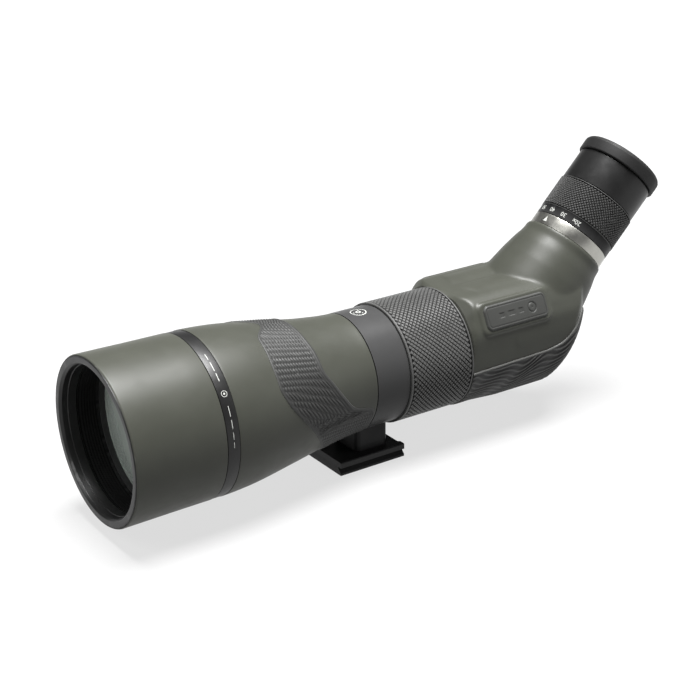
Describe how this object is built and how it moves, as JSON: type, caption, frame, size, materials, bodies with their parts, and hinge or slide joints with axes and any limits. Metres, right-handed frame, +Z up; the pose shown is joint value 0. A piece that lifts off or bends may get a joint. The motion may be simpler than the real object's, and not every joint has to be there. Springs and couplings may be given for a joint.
{
  "type": "spotting scope",
  "caption": "Angled spotting scope with sliding sunshade, rotating tripod collar, focus ring, zoom ring and twist-up eyecup on a dovetail foot.",
  "frame": {"origin": "mouth of the 1/4-20 tripod thread, at the middle of the foot's underside", "axes": "+X forward along the objective axis, +Y to the scope's left, +Z up from the foot"},
  "size_m": [0.4075, 0.1053, 0.1709],
  "materials": {
    "olive_paint": "matte olive-grey paint",
    "black_anodised": "matt black anodised",
    "black_paint": "matt black paint",
    "rubber": "textured black rubber",
    "glass": "multi-coated optical glass",
    "silver": "satin champagne anodised",
    "steel": "bare stainless steel",
    "ptfe": "natural PTFE",
    "brass": "plain",
    "black_plastic": "moulded black nylon"
  },
  "bodies": {
    "collar": {"tripod_foot": "black_anodised", "foot_thread_insert": "steel", "foot_screws": "steel", "collar_ring": "black_anodised", "collar_liner": "ptfe", "lock_brake_pad": "brass"},
    "lock_knob": {"lock_knob": "black_plastic", "lock_screw": "steel"},
    "optical_tube": {"barrel_shell": "olive_paint", "barrel_grip_panel": "rubber", "name_band": "black_anodised", "objective_cell": "black_anodised", "objective_rear_element": "glass", "objective_ed_element": "glass", "objective_front_element": "glass", "objective_spacers": "black_anodised", "objective_retaining_ring": "black_anodised", "front_baffle": "black_paint", "barrel_baffles": "black_paint", "guide_tube": "black_anodised", "prism_housing": "olive_paint", "side_pad_left": "rubber", "side_pad_right": "rubber", "housing_armour": "rubber", "roof_prism": "glass", "housing_bulkhead": "black_anodised", "prism_bracket": "black_anodised", "prism_clamp": "steel", "bracket_screws": "steel", "clamp_screws": "steel", "eyepiece_tube": "black_anodised", "index_ring": "silver", "field_stop": "black_paint", "eyepiece_head": "black_anodised", "field_lens": "glass", "eye_lens": "glass", "eye_lens_spacer": "black_anodised", "eye_lens_retainer": "black_anodised"},
    "sunshade": {"sunshade_tube": "olive_paint", "sunshade_rim": "black_plastic", "sunshade_guide_band": "ptfe"},
    "focus_ring": {"focus_ring_core": "black_anodised", "focus_ring_grip": "rubber"},
    "focus_cell": {"focus_lens_cell": "black_anodised", "focus_lens": "glass", "focus_lens_retainer": "black_anodised", "focus_pins": "steel"},
    "zoom_ring": {"zoom_ring_sleeve": "black_anodised", "zoom_ring_grip": "rubber", "zoom_cam_tube": "black_anodised"},
    "zoom_front": {"zoom_front_cell": "black_anodised", "zoom_front_lens": "glass", "zoom_front_pins": "steel"},
    "zoom_rear": {"zoom_rear_cell": "black_anodised", "zoom_rear_lens": "glass", "zoom_rear_pins": "steel"},
    "eyecup_guide": {"eyecup_guide_ring": "black_plastic"},
    "eyecup": {"eyecup_sleeve": "black_anodised", "eyecup_drive_pin": "steel", "eyecup_rim": "rubber"}
  },
  "joints": [
    {"name": "collar_rotation", "type": "hinge", "parent": "collar", "child": "optical_tube", "pos_m": [0, 0, 0.058], "axis": [1, 0, 0], "continuous": true},
    {"name": "collar_lock", "type": "hinge", "parent": "collar", "child": "lock_knob", "pos_m": [-0.00385, -0.05, 0.058], "axis": [0, -1, 0], "range_deg": [-540, 0]},
    {"name": "sunshade_slide", "type": "slide", "parent": "optical_tube", "child": "sunshade", "axis": [1, 0, 0], "range_m": [0, 0.035]},
    {"name": "focus_turn", "type": "hinge", "parent": "optical_tube", "child": "focus_ring", "pos_m": [-0.0392, 0, 0.058], "axis": [1, 0, 0], "range_deg": [-225, 225]},
    {"name": "focus_travel", "type": "slide", "parent": "optical_tube", "child": "focus_cell", "axis": [1, 0, 0], "range_m": [-0.0094, 0.0094]},
    {"name": "zoom_turn", "type": "hinge", "parent": "optical_tube", "child": "zoom_ring", "pos_m": [-0.1206, 0, 0.058], "axis": [-0.7071, 0, 0.7071], "range_deg": [-42, 42]},
    {"name": "zoom_front_travel", "type": "slide", "parent": "optical_tube", "child": "zoom_front", "axis": [-0.7071, 0, 0.7071], "range_m": [-0.00281, 0.00281]},
    {"name": "zoom_rear_travel", "type": "slide", "parent": "optical_tube", "child": "zoom_rear", "axis": [-0.7071, 0, 0.7071], "range_m": [-0.00211, 0.00211]},
    {"name": "eyecup_lift", "type": "slide", "parent": "optical_tube", "child": "eyecup_guide", "axis": [-0.7071, 0, 0.7071], "range_m": [-0.0001, 0.0121]},
    {"name": "eyecup_twist", "type": "hinge", "parent": "eyecup_guide", "child": "eyecup", "pos_m": [-0.1206, 0, 0.058], "axis": [-0.7071, 0, 0.7071], "range_deg": [0, 150]}
  ],
  "couplings": [
    {"joint": "focus_travel", "follows": "focus_turn", "m_per_rad": 0.0023873},
    {"joint": "zoom_front_travel", "follows": "zoom_turn", "m_per_rad": -0.0038197},
    {"joint": "zoom_rear_travel", "follows": "zoom_turn", "m_per_rad": 0.0028648},
    {"joint": "eyecup_lift", "follows": "eyecup_twist", "m_per_rad": 0.0045837}
  ]
}
